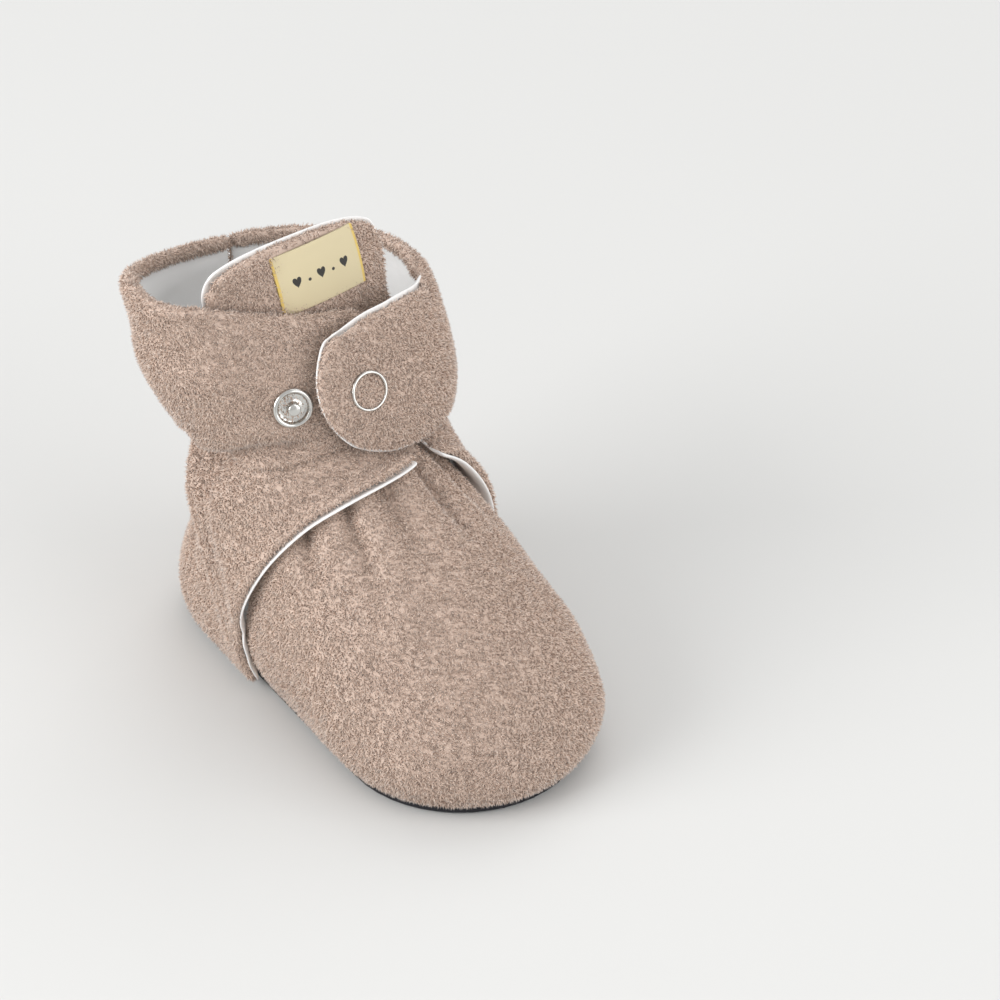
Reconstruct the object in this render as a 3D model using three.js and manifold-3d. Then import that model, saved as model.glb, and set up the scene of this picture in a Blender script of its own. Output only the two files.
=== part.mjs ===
// Baby bootie: a soft fleece bootie with a fabric sole, a tongue and a snap-closed ankle cuff.
//
// Millimetres, +Z up. The toe points to -Y and the heel to +Y; the closing flap grows from the
// +X side. The sole rests on Z = 0 and the origin is the centre of the bootie's bounding box there.
//
// Every cloth piece is a thick panel laid on one guiding skin. A place on the skin is (turn, rise):
// turn is the angle round the foot in degrees, 0 at the toe, positive towards +X, 180 at the heel;
// rise is 0 at the sole seam, 1 at the elastic of the ankle and 2 at the rim of the cuff.
// A third number, the stand-off, is the distance outwards from the skin along its normal.

import * as THREE from 'three';
import { mergeVertices } from 'three/addons/utils/BufferGeometryUtils.js';
import Module from 'manifold-3d';

const wasm = await Module();
wasm.setup();

// ---------------------------------------------------------------- driving dimensions

const GAP = 0.3;                       // clearance between neighbouring pieces

const SOLE_LENGTH = 118.4;
const SOLE_TOE_RADIUS = 28.6;
const SOLE_HEEL_RADIUS = 23.8;
const OUTSOLE_THICK = 2.2;             // twill sole fabric with its grip dots
const PADDING_THICK = 1.6;
const INSOLE_THICK = 0.7;
const PADDING_INSET = 3.4;
const INSOLE_INSET = 3.6;

const SEAM_Z = 2.6;                    // height of the sole seam
const ANKLE = {
  y: 28.5, leftHalf: 26.2, rightHalf: 26.2, halfLength: 21.5, square: 2.1, z: 61, heelDrop: 4,
};
const RIM = {
  y: 37.5, leftHalf: 36, rightHalf: 32, halfLength: 22, square: 2.3, z: 88.5, heelDrop: 2.5,
};
const FOOT = {                         // how the foot's ribs bulge, over the seam and below the ankle
  sideSpread: 8, toeSpread: 17.5, heelTuck: 2.5, sideZ: 15, toeZ: 17,
  sideLean: 0.25, toeLean: 0.4, sideDrop: 32, toeDrop: 11.5,
};
const TOEWARD_POWER = 1.3;             // how quickly the ribs change from side to toe
const RIDGE_POWER = 3;
const CUFF_FULLNESS = 3;               // how far the cuff's middle bows out
const CUFF_LOW_SHARE = 0.3;            // where along the cuff's rib its bow starts and ends
const CUFF_HIGH_SHARE = 0.72;
const CUFF_CENTRE_Y = 34;
const LEFT_RIM_RISE = 0.36;            // how much taller the cuff is on the underlap's side
const RIM_TUCK = { depth: 3.2, from: 1.8, to: 2.4 }; // how far its tall side leans in again

const FLEECE = 1.7;                    // pile fleece outer cloth
const LINING = 0.7;                    // brushed cotton lining
const CLOTH = LINING + GAP + FLEECE;
const WRAP_LIFT = 0.4;                 // wrap lining above the vamp's face
const VAMP = { bottom: 0.005, top: 0.985, lowReach: 118, highReach: 60 };
const HEM_LOWEST = 0.035;              // rise of the wrap's hem round the sole seam

const HINGE_TURN = 56;                 // where the flap and the underlap fold away from the cuff
const HINGE_GAP = 0.3;                 // degrees between the cuff and a tab
const RIGHT_FULLNESS = 4;              // how far the cuff stands out low on the flap's side
const FULL_TURN = 48;                  // the middle of that fullness, and how far it spreads
const FULL_SPREAD = 62;
const FULL_RISE = 1.1;                 // up to here it is at its fullest, from FLAT_RISE up it is gone
const FLAT_RISE = 1.9;
const FLAP_RISE = 4;                   // how far the flap stands off to pass over the underlap
const FLAP_TOP_RISE = 0.08;
const UNDERLAP_SINK = 2.2;             // how far the underlap sinks in behind the flap
const CUFF_START = 1.06;               // rise of the cuff's lower edge, just above the elastic
const QUARTER_TOP = 0.94;
const ELASTIC = { low: QUARTER_TOP + 0.01, high: CUFF_START - 0.015, inner: 0.5, outer: 1.7 };
const FLAP_TIP_TURN = -17;
const FLAP_OVER_TURN = 8;              // from here to its tip the flap lies wholly over the underlap
const FLAP_ROUND_FROM = 0.62;
const UNDERLAP_TIP_TURN = 30;
const UNDERLAP_SUNK_TURN = 6;          // from here to its tip the underlap is fully sunk in
const UNDERLAP_ROUND_FROM = 0.72;
const TAB_BOTTOM = 1.07;               // rise of the lower edges of the flap and the underlap
const TONGUE = {                       // rises, half widths in degrees, and depth behind the skin
  bottom: 1.07, top: 2.78, wideFrom: 1.3, wideAt: 2.1, roundFrom: 0.66,
  foot: 36, left: 47, right: 40, sink: 8,
};

const SNAP_RADIUS = 4.75;              // prong rings and studs are 9.5 across
const SNAP_RISE = 1.56;
const CLOSED_SNAP_TURN = -1;           // the stud in use, under the flap's ring
const TIGHT_SNAP_TURN = -26;           // the spare stud for a slimmer ankle
const DISC_THICK = 0.5;
const POST_RADIUS = 1.4;
const POST_HEIGHT = 1.6;
const POST_CHAMFER = { height: 0.4, width: 0.3 };
const SOCKET_THICK = 1.3;
const SOCKET_PLAY = 0.45;              // between the post and the socket's bore
const SOCKET_INSET = 0.3;              // how much smaller round the socket is than the ring
const CURVE_ROOM = 1.1;                // gap to the hollow side of a curved cloth at a snap's rim
const PRONGS = 5;
const PRONG_RADIUS = 0.4;
const PRONG_CIRCLE = 3.9;
const PRONG_RING_BORE = 3.3;
const PIERCE_PAST = 2;                 // how far a prong's hole is cut past both faces of the cloth

const LABEL_WIDTH = 23.2;
const LABEL_HEIGHT = 14.5;
const LABEL_THICK = 0.6;
const LABEL_TOP_RISE = 2.72;
const LABEL_TILT = 3.5;                // degrees that its top edge climbs towards +X
const LABEL_LEAN_RISE = 0.2;           // the stretch of tongue that the label leans along

// ---------------------------------------------------------------- colours

const FLEECE_BEIGE = { color: 0xcbb3a6, roughness: 0.95, metalness: 0 };
const LINING_WHITE = { color: 0xf1f0ee, roughness: 0.9, metalness: 0 };
const TWILL_BLACK = { color: 0x17181b, roughness: 0.85, metalness: 0 };
const WADDING = { color: 0xe9e6e0, roughness: 1, metalness: 0 };
const ELASTIC_WHITE = { color: 0xe4e2dd, roughness: 0.8, metalness: 0 };
const NICKEL = { color: 0xc9c9c7, roughness: 0.22, metalness: 1 };
const SATIN_CREAM = { color: 0xeedfae, roughness: 0.45, metalness: 0 };

const group = new THREE.Group();

function addPiece(name, geometry, finish) {
  const mesh = new THREE.Mesh(geometry, new THREE.MeshStandardMaterial(finish));
  mesh.name = name;
  group.add(mesh);
  return mesh;
}

// ---------------------------------------------------------------- the guiding skin

const { lerp, degToRad, smoothstep, clamp, euclideanModulo } = THREE.MathUtils;

/** Distance along a level ray from the sole's centre to the sole's outline, grown by `grow`. */
function soleReach(turn, grow) {
  const angle = degToRad(turn);
  const ray = new THREE.Vector2(Math.sin(angle), -Math.cos(angle));
  const toe = { y: -SOLE_LENGTH / 2 + SOLE_TOE_RADIUS, r: SOLE_TOE_RADIUS + grow };
  const heel = { y: SOLE_LENGTH / 2 - SOLE_HEEL_RADIUS, r: SOLE_HEEL_RADIUS + grow };
  const throughDisc = ({ y, r }) => {
    const along = ray.y * y;
    const inside = along * along - y * y + r * r;
    return inside > 0 ? along + Math.sqrt(inside) : 0;
  };
  const slope = (toe.r - heel.r) / (heel.y - toe.y);
  const level = Math.sqrt(1 - slope * slope);
  const facing = Math.abs(ray.x) * level + ray.y * slope;
  const side = facing > 0 ? (toe.r + toe.y * slope) / facing : 0;
  const sideY = ray.y * side;
  const onSide = side > 0 && sideY > toe.y + toe.r * slope && sideY < heel.y + heel.r * slope;
  return onSide ? side : Math.max(throughDisc(toe), throughDisc(heel));
}

function solePoint(turn, grow, z) {
  const angle = degToRad(turn);
  const reach = soleReach(turn, grow);
  return new THREE.Vector3(Math.sin(angle) * reach, -Math.cos(angle) * reach, z);
}

/** A point on a rounded loop round the leg, such as the ankle line or the rim. */
function loopPoint(loop, turn) {
  const angle = degToRad(turn);
  const bend = (value) => Math.sign(value) * Math.abs(value) ** (2 / loop.square);
  const half = Math.sin(angle) > 0 ? loop.rightHalf : loop.leftHalf;
  return new THREE.Vector3(
    half * bend(Math.sin(angle)),
    loop.y - loop.halfLength * bend(Math.cos(angle)),
    loop.z - loop.heelDrop * (1 - Math.cos(angle)) / 2,
  );
}

/** The rib of the foot part: sole seam to ankle, bulging over the seam and full at the toe. */
function footRib(turn) {
  const facing = Math.cos(degToRad(turn));
  const toeward = Math.max(facing, 0) ** TOEWARD_POWER;
  const ridge = Math.max(facing, 0) ** RIDGE_POWER;
  const heelward = Math.max(-facing, 0);
  const seam = solePoint(turn, 0, SEAM_Z);
  const spread = lerp(FOOT.sideSpread, FOOT.toeSpread, toeward) - FOOT.heelTuck * heelward;
  const low = solePoint(turn, spread, lerp(FOOT.sideZ, FOOT.toeZ, toeward));
  const ankle = loopPoint(ANKLE, turn);
  const high = ankle.clone().lerp(low, lerp(FOOT.sideLean, FOOT.toeLean, ridge));
  high.z = ankle.z - lerp(FOOT.sideDrop, FOOT.toeDrop, ridge);
  return new THREE.CubicBezierCurve3(seam, low, high, ankle);
}

/** The rib of the cuff: ankle to rim, a little full in the middle. */
function cuffRib(turn) {
  const ankle = loopPoint(ANKLE, turn);
  const rim = loopPoint(RIM, turn);
  const out = ankle.clone().add(rim).multiplyScalar(0.5).sub(new THREE.Vector3(0, CUFF_CENTRE_Y, 0));
  out.z = 0;
  out.setLength(CUFF_FULLNESS);
  const low = ankle.clone().lerp(rim, CUFF_LOW_SHARE).add(out);
  const high = ankle.clone().lerp(rim, CUFF_HIGH_SHARE).add(out);
  return new THREE.CubicBezierCurve3(ankle, low, high, rim);
}

function ribPoint(turn, rise) {
  if (rise <= 1) return footRib(turn).getPoint(rise);
  const rib = cuffRib(turn);
  if (rise <= 2) return rib.getPoint(rise - 1);
  const rim = rib.getPoint(1);
  const lean = loopPoint(RIM, turn).sub(loopPoint(ANKLE, turn));
  return rim.addScaledVector(lean, rise - 2);
}

/** A point at a stand-off from the skin, along the outward normal. */
function skin(turn, rise, standOff) {
  const step = 0.01;
  const low = rise > 1 && rise - step < 1 ? rise : rise - step;
  const high = rise <= 1 && rise + step > 1 ? rise : rise + step;
  const from = Math.max(low, 0);
  const around = ribPoint(turn + 0.5, rise).sub(ribPoint(turn - 0.5, rise));
  const upward = ribPoint(turn, high).sub(ribPoint(turn, from));
  const normal = around.cross(upward).normalize();
  return ribPoint(turn, rise).addScaledVector(normal, standOff);
}

// ---------------------------------------------------------------- cloth panels

/** Geometry of a closed surface from a list of points and triangles of their numbers. */
function closedGeometry(points, faces) {
  const geometry = new THREE.BufferGeometry();
  const coordinates = points.flatMap((p) => [p.x, p.y, p.z]);
  geometry.setAttribute('position', new THREE.Float32BufferAttribute(coordinates, 3));
  geometry.setIndex(faces.flat());
  return geometry;
}

/**
 * A thick cloth panel. `place(across, up)` gives [turn, rise] for 0..1 each way, and `inner` and
 * `outer` give the stand-offs of its two faces there.
 */
function panel({ across, up, place, inner, outer }) {
  const points = [];
  for (const face of [outer, inner]) {
    for (let j = 0; j <= up; j++) {
      for (let i = 0; i <= across; i++) {
        const [turn, rise] = place(i / across, j / up);
        points.push(skin(turn, rise, face(turn, rise)));
      }
    }
  }
  const row = across + 1;
  const back = row * (up + 1);
  const faces = [];
  const quad = (a, b, c, d) => faces.push([a, b, c], [a, c, d]);
  for (let j = 0; j < up; j++) {
    for (let i = 0; i < across; i++) {
      const a = j * row + i;
      quad(a, a + 1, a + row + 1, a + row);
      quad(back + a, back + a + row, back + a + row + 1, back + a + 1);
    }
  }
  for (let i = 0; i < across; i++) {
    const top = up * row + i;
    quad(i, back + i, back + i + 1, i + 1);
    quad(top, top + 1, back + top + 1, back + top);
  }
  for (let j = 0; j < up; j++) {
    const left = j * row;
    const right = left + across;
    quad(left, left + row, back + left + row, back + left);
    quad(right, back + right, back + right + row, right + row);
  }
  return closedGeometry(points, faces);
}

/** The two cloths of a panel: fleece outside, lining inside, both with the same grid. */
function addPanelPair(name, shape, lift) {
  const layer = (low, high) => ({
    ...shape,
    inner: (turn, rise) => lift(turn, rise) + low,
    outer: (turn, rise) => lift(turn, rise) + high,
  });
  addPiece(`${name}_outer`, panel(layer(LINING + GAP, CLOTH)), FLEECE_BEIGE);
  addPiece(`${name}_lining`, panel(layer(0, LINING)), LINING_WHITE);
}

// ---------------------------------------------------------------- sole

function soleSlab(inset, low, high) {
  const outline = new THREE.Shape();
  const steps = 72;
  for (let i = 0; i < steps; i++) {
    const point = solePoint((i * 360) / steps, -inset, 0);
    if (i === 0) outline.moveTo(point.x, point.y);
    else outline.lineTo(point.x, point.y);
  }
  outline.closePath();
  const slab = new THREE.ExtrudeGeometry(outline, { depth: high - low, bevelEnabled: false });
  slab.translate(0, 0, low);
  return slab;
}

function addSole() {
  const paddingLow = OUTSOLE_THICK + GAP;
  const paddingHigh = paddingLow + PADDING_THICK;
  addPiece('outsole_fabric', soleSlab(0, 0, OUTSOLE_THICK), TWILL_BLACK);
  addPiece('sole_padding', soleSlab(PADDING_INSET, paddingLow, paddingHigh), WADDING);
  const insoleLow = paddingHigh + GAP;
  addPiece('insole_lining', soleSlab(INSOLE_INSET, insoleLow, insoleLow + INSOLE_THICK), LINING_WHITE);
}

// ---------------------------------------------------------------- vamp

const vampLift = () => -CLOTH;

function addVamp() {
  const place = (across, up) => {
    const rise = lerp(VAMP.bottom, VAMP.top, up);
    const reach = lerp(VAMP.lowReach, VAMP.highReach, smoothstep(rise, 0, 1));
    return [lerp(-reach, reach, across), rise];
  };
  addPanelPair('vamp', { across: 34, up: 14, place }, vampLift);
}

// ---------------------------------------------------------------- heel wrap, cuff, flap and underlap

const wrapLift = () => WRAP_LIFT;

const rimTuck = (rise) => RIM_TUCK.depth * smoothstep(rise, RIM_TUCK.from, RIM_TUCK.to);

/** The cuff stands fuller low on the flap's side, where the flap draws it forward. */
function cuffLift(turn, rise) {
  const away = Math.abs(euclideanModulo(turn + 180, 360) - 180 - FULL_TURN);
  const round = 1 - smoothstep(away, 0, FULL_SPREAD);
  const low = 1 - smoothstep(rise, FULL_RISE, FLAT_RISE);
  return WRAP_LIFT + RIGHT_FULLNESS * round * low - rimTuck(rise);
}

/** Rise of the cuff's rim: it climbs on the underlap's side and falls off round the back. */
function rimRise(turn) {
  const left = 120 - euclideanModulo(120 - turn, 360);
  return 2 + LEFT_RIM_RISE * smoothstep(-left, -22, 55) * (1 - smoothstep(-left, 90, 240));
}

/** The wrap's lower hem: down the right front edge, round the sole seam and up the left front edge. */
const HEM = new THREE.SplineCurve([
  [26, 0.9], [38, 0.84], [54, 0.7], [78, 0.45], [99, 0.2], [106, 0.05],
  [122, HEM_LOWEST], [150, HEM_LOWEST], [180, HEM_LOWEST], [210, HEM_LOWEST], [234, HEM_LOWEST],
  [245, 0.05], [251, 0.2], [267, 0.45], [296, 0.7], [318, 0.83], [340, 0.885], [372, 0.915],
].map(([turn, rise]) => new THREE.Vector2(turn, rise)));

function addQuarter() {
  const place = (across, up) => {
    const hem = HEM.getPoint(across);
    return [hem.x, lerp(Math.max(hem.y, HEM_LOWEST), QUARTER_TOP, up)];
  };
  addPanelPair('quarter', { across: 51, up: 8, place }, wrapLift);
}

/** The turn of a place along the cuff, from the flap's hinge round the heel to the underlap's. */
const roundTheBack = (across) => lerp(HINGE_TURN + HINGE_GAP, 360 - HINGE_TURN - HINGE_GAP, across);

function addCuff() {
  const place = (across, up) => {
    const turn = roundTheBack(across);
    return [turn, lerp(CUFF_START, rimRise(turn), up)];
  };
  addPanelPair('cuff', { across: 36, up: 6, place }, cuffLift);
}

/** The ankle elastic lies in its casing between the quarter and the cuff. */
function addElastic() {
  addPiece('ankle_elastic', panel({
    across: 36,
    up: 2,
    place: (across, up) => [roundTheBack(across), lerp(ELASTIC.low, ELASTIC.high, up)],
    inner: () => WRAP_LIFT + ELASTIC.inner,
    outer: () => WRAP_LIFT + ELASTIC.outer,
  }), ELASTIC_WHITE);
}

/**
 * Rounds the end of a tab into a half disc. `along` runs 0..1 to the tip and `side` -1..1 across;
 * the rounding starts at `start`.
 */
function roundTip(along, side, start) {
  const past = clamp((along - start) / (1 - start), 0, 1);
  const drawnIn = start + (1 - start) * past * Math.sqrt(1 - side * side / 2);
  return [past > 0 ? drawnIn : along, side * Math.sqrt(1 - past * past / 2)];
}

function flapLift(turn, rise) {
  return cuffLift(turn, rise) + FLAP_RISE * smoothstep(-turn, -HINGE_TURN, -FLAP_OVER_TURN);
}

function underlapLift(turn, rise) {
  const sink = UNDERLAP_SINK * smoothstep(turn, -HINGE_TURN, UNDERLAP_SUNK_TURN);
  return WRAP_LIFT - sink - rimTuck(rise);
}

/** A tab between two rises that narrows to a round tip. */
function tab(from, tip, start, top) {
  return (across, up) => {
    const [along, side] = roundTip(across, lerp(-1, 1, up), start);
    const turn = lerp(from, tip, along);
    const high = top(turn);
    return [turn, lerp(TAB_BOTTOM, high, (side + 1) / 2)];
  };
}

function addFlap() {
  const top = (turn) => 2 + FLAP_TOP_RISE * smoothstep(-turn, -HINGE_TURN, -20);
  const leftwards = tab(HINGE_TURN - HINGE_GAP, FLAP_TIP_TURN, FLAP_ROUND_FROM, top);
  const place = (across, up) => leftwards(across, 1 - up);
  addPanelPair('flap', { across: 24, up: 8, place }, flapLift);
}

function addUnderlap() {
  const place = tab(-HINGE_TURN + HINGE_GAP, UNDERLAP_TIP_TURN, UNDERLAP_ROUND_FROM, rimRise);
  addPanelPair('underlap', { across: 24, up: 8, place }, underlapLift);
}

// ---------------------------------------------------------------- tongue and its label

const tongueLift = () => -TONGUE.sink;

function addTongue() {
  const place = (across, up) => {
    const [along, side] = roundTip(up, lerp(-1, 1, across), TONGUE.roundFrom);
    const rise = lerp(TONGUE.bottom, TONGUE.top, along);
    const widest = side < 0 ? TONGUE.left : TONGUE.right;
    return [side * lerp(TONGUE.foot, widest, smoothstep(rise, TONGUE.wideFrom, TONGUE.wideAt)), rise];
  };
  addPanelPair('tongue', { across: 14, up: 14, place }, tongueLift);
}

// ---------------------------------------------------------------- snaps

function toSolid(geometry) {
  const plain = geometry.clone();
  plain.deleteAttribute('normal');
  plain.deleteAttribute('uv');
  const merged = mergeVertices(plain, 1e-4);
  return new wasm.Manifold(new wasm.Mesh({
    numProp: 3,
    vertProperties: new Float32Array(merged.attributes.position.array),
    triVerts: new Uint32Array(merged.index.array),
  }));
}

function toGeometry(solid) {
  const mesh = solid.getMesh();
  const geometry = new THREE.BufferGeometry();
  geometry.setAttribute('position', new THREE.Float32BufferAttribute(mesh.vertProperties, 3));
  geometry.setIndex(Array.from(mesh.triVerts));
  return geometry;
}

/** A frame on the skin whose Z axis is the outward normal, with heights measured as stand-offs. */
function snapFrame(turn) {
  const foot = skin(turn, SNAP_RISE, 0);
  const normal = skin(turn, SNAP_RISE, 1).sub(foot).normalize();
  const turnTo = new THREE.Quaternion().setFromUnitVectors(new THREE.Vector3(0, 0, 1), normal);
  return new THREE.Matrix4().compose(foot, turnTo, new THREE.Vector3(1, 1, 1));
}

/** A solid of revolution about Z from [radius, height] corners that close on themselves. */
function turned(corners, segments = 24) {
  const profile = corners.map(([radius, height]) => new THREE.Vector2(radius, height));
  profile.push(profile[0].clone());
  const solid = new THREE.LatheGeometry(profile, segments);
  return solid.rotateX(Math.PI / 2);
}

function ring(inner, outer, low, high) {
  return turned([[inner, low], [outer, low], [outer, high], [inner, high]]);
}

function prongs(radius, low, high) {
  return Array.from({ length: PRONGS }, (_, i) => {
    const angle = (i * 2 * Math.PI) / PRONGS;
    const prong = new THREE.CylinderGeometry(radius, radius, high - low, 6).rotateX(Math.PI / 2);
    const middle = (low + high) / 2;
    return prong.translate(Math.cos(angle) * PRONG_CIRCLE, Math.sin(angle) * PRONG_CIRCLE, middle);
  });
}

/** A flat ring whose prongs go through the cloth, from `face` to `tip`. */
function prongRing(face, thickness, tip) {
  const outward = Math.sign(face - tip);
  const back = face + outward * thickness;
  let solid = toSolid(ring(PRONG_RING_BORE, SNAP_RADIUS, Math.min(face, back), Math.max(face, back)));
  const root = face + (outward * thickness) / 2;
  for (const prong of prongs(PRONG_RADIUS, Math.min(root, tip), Math.max(root, tip))) {
    solid = solid.add(toSolid(prong));
  }
  return toGeometry(solid);
}

/** Cuts the prongs' holes of a snap through a cloth that lies between two stand-offs. */
function pierce(name, frame, inside, outside) {
  const cloth = group.getObjectByName(name);
  let solid = toSolid(cloth.geometry);
  for (const hole of prongs(PRONG_RADIUS + GAP, inside - PIERCE_PAST, outside + PIERCE_PAST)) {
    solid = solid.subtract(toSolid(hole.applyMatrix4(frame)));
  }
  cloth.geometry = toGeometry(solid);
}

/** A male stud on the underlap: cap ring inside, disc and post outside. */
function addStud(name, turn) {
  const frame = snapFrame(turn);
  const inside = underlapLift(turn, SNAP_RISE);
  const outside = inside + CLOTH;
  const disc = outside + GAP;
  const post = disc + DISC_THICK + POST_HEIGHT;
  const stud = turned([
    [0, disc], [SNAP_RADIUS, disc], [SNAP_RADIUS, disc + DISC_THICK], [POST_RADIUS, disc + DISC_THICK],
    [POST_RADIUS, post - POST_CHAMFER.height], [POST_RADIUS - POST_CHAMFER.width, post], [0, post],
  ]);
  addPiece(`${name}_stud`, stud.applyMatrix4(frame), NICKEL);
  const capFace = inside - CURVE_ROOM;
  addPiece(`${name}_stud_cap`, prongRing(capFace, DISC_THICK, outside).applyMatrix4(frame), NICKEL);
  for (const cloth of ['underlap_outer', 'underlap_lining']) pierce(cloth, frame, inside, outside);
}

/** The flap's snap: visible prong ring outside, socket inside. */
function addSocket() {
  const frame = snapFrame(CLOSED_SNAP_TURN);
  const inside = flapLift(CLOSED_SNAP_TURN, SNAP_RISE);
  const outside = inside + CLOTH;
  const top = inside - CURVE_ROOM;
  const socket = ring(POST_RADIUS + SOCKET_PLAY, SNAP_RADIUS - SOCKET_INSET, top - SOCKET_THICK, top);
  addPiece('flap_snap_socket', socket.applyMatrix4(frame), NICKEL);
  const ringPiece = prongRing(outside + GAP, DISC_THICK, top + GAP);
  addPiece('flap_snap_ring', ringPiece.applyMatrix4(frame), NICKEL);
  for (const cloth of ['flap_outer', 'flap_lining']) pierce(cloth, frame, inside, outside);
}

// ---------------------------------------------------------------- label

/** A folded satin tab sewn in at the tongue's top edge, hanging flat against its front. */
function addLabel() {
  const face = tongueLift() + CLOTH + GAP;
  const top = skin(0, LABEL_TOP_RISE, face);
  const bottom = skin(0, LABEL_TOP_RISE - LABEL_LEAN_RISE, face);
  const lean = Math.atan2(top.y - bottom.y, top.z - bottom.z);
  const leaf = new THREE.Shape();
  leaf.moveTo(0, 0);
  leaf.lineTo(-LABEL_THICK, 0);
  leaf.lineTo(-LABEL_THICK, -LABEL_HEIGHT);
  leaf.lineTo(0, -LABEL_HEIGHT);
  leaf.closePath();
  const strip = new THREE.ExtrudeGeometry(leaf, { depth: LABEL_WIDTH, bevelEnabled: false });
  strip.translate(0, 0, -LABEL_WIDTH / 2);
  strip.applyMatrix4(new THREE.Matrix4().makeBasis(
    new THREE.Vector3(0, 1, 0), new THREE.Vector3(0, 0, 1), new THREE.Vector3(1, 0, 0),
  ));
  strip.rotateY(-degToRad(LABEL_TILT));
  strip.rotateX(-lean);
  strip.translate(top.x, top.y, top.z);
  addPiece('label', strip, SATIN_CREAM);
}

addSole();
addVamp();
addQuarter();
addCuff();
addElastic();
addFlap();
addUnderlap();
addTongue();
addStud('closed', CLOSED_SNAP_TURN);
addStud('tight', TIGHT_SNAP_TURN);
addSocket();
addLabel();

// The origin is the middle of the bounding box, on the plane that the sole rests on.
const middle = new THREE.Box3().setFromObject(group).getCenter(new THREE.Vector3());
group.position.set(-middle.x, -middle.y, 0);

export default group;
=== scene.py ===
"""Finishes the baby bootie: fleece and lining panels, fabric sole, tongue, woven label and snaps.

Metres throughout, in the frame of the packed model. The toe points to -Y, the heel to +Y and the
sole rests on Z = 0. Every cloth panel lies on one guiding skin. A place on the skin is a turn and a
rise: the turn is the angle round the foot in degrees, 0 at the toe and positive towards +X, and the
rise is 0 at the sole seam, 1 at the elastic of the ankle and 2 at the rim of the cuff.
"""

import math
from collections import namedtuple

import bmesh
import bpy
import numpy as np
from mathutils import Matrix, Vector, noise


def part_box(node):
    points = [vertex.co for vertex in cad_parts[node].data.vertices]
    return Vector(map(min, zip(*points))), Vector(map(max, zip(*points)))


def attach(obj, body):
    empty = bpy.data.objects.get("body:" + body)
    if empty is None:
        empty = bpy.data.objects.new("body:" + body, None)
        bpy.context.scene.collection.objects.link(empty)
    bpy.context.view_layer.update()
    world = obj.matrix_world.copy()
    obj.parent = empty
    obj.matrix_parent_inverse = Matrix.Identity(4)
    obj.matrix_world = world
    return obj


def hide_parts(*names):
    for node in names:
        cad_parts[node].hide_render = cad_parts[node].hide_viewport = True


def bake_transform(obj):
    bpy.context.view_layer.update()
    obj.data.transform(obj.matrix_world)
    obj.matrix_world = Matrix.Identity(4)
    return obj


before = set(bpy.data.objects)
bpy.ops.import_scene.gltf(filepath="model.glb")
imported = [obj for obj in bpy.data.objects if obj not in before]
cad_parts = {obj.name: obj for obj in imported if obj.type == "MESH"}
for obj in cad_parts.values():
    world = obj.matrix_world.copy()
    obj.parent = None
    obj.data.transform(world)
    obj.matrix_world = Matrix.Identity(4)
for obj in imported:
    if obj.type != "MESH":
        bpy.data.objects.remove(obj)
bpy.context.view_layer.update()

bl_info = {
    "name": "Fleece Baby Bootie",
    "version": (1, 0, 0),
    "blender": (4, 5, 0),
    "location": "3D View > Sidebar > Bootie",
    "description": "Builds a snap-closed fleece bootie piece by piece",
    "category": "Add Mesh",
}


# ---------------------------------------------------------------- sizes and colours

SOLE_LENGTH = 0.1184
SOLE_TOE_RADIUS = 0.0286
SOLE_HEEL_RADIUS = 0.0238
SEAM_Z = 0.0026
WADDING_INSET = 0.0034
INSOLE_INSET = 0.0036

Loop = namedtuple("Loop", "y left_half right_half half_length square z heel_drop")
ANKLE = Loop(0.0285, 0.0262, 0.0262, 0.0215, 2.1, 0.061, 0.004)
RIM = Loop(0.0375, 0.036, 0.032, 0.022, 2.3, 0.0885, 0.0025)
Foot = namedtuple(
    "Foot", "side_spread toe_spread heel_tuck side_z toe_z side_lean toe_lean side_drop toe_drop",
)
FOOT = Foot(0.008, 0.0175, 0.0025, 0.015, 0.017, 0.25, 0.4, 0.032, 0.0115)
CUFF_FULLNESS = 0.003       # the cuff's middle bows out this far
CUFF_CENTRE_Y = 0.034
CUFF_BOW = (0.3, 0.72)      # the shares of the cuff's height where the bow starts and ends
LEFT_RIM_RISE = 0.36        # the cuff is this much taller on the underlap's side
RIM_TUCK = 0.0032           # how far its tall side leans in again towards the rim
CUFF_HEIGHT = 0.029         # from the elastic to the rim, along the cloth

HINGE_TURN = 56.0           # the flap and the underlap fold away from the cuff here
HINGE_SPREAD = 10.0         # the points found round the fold lie this much turn on each side of it
BACK_TURN = 180.0
FLAP_TIP_TURN = -17.0
UNDERLAP_TIP_TURN = 30.0
FLAP_RISE = 0.004           # the flap stands off this far to pass over the underlap
UNDERLAP_SINK = 0.0022
RIGHT_FULLNESS = 0.004      # the cuff stands out this far low on the flap's side
FULL_TURN, FULL_SPREAD = 48, 62
FULL_RISES = (1.1, 1.9)     # the rises over which it dies away
RIM_TUCK_RISES = (1.8, 2.4)
FLAP_OVER_TURN = -8         # minus the turn from which the flap lies wholly over the underlap
UNDERLAP_SUNK_TURN = 6
WRAP_LIFT = 0.0004          # gap between the vamp's face and the wrap's lining
CREASE_RISE = 1.0           # the casing of the elastic draws the cloth in here
CREASE_DEPTH = 0.0021
TAB_BOTTOM = 1.07           # rise of the lower edges of the flap and the underlap
FLAP_TOP_RISE = 0.08
ROLL_RADIUS = 0.0019        # the fleece rolls inwards over the rim of the cuff
ROLL_TUCK = 0.0012          # and runs on down inside this far

Tongue = namedtuple("Tongue", "bottom top foot left right round_from lift")
TONGUE = Tongue(bottom=1.07, top=2.78, foot=36, left=47, right=40, round_from=0.66, lift=-0.008)

SNAP_RISE = 1.56
CLOSED_SNAP_TURN = -1.0
TIGHT_SNAP_TURN = -26.0
SNAP_RADIUS = 0.00475
SNAP_GAP = 0.0003


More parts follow.
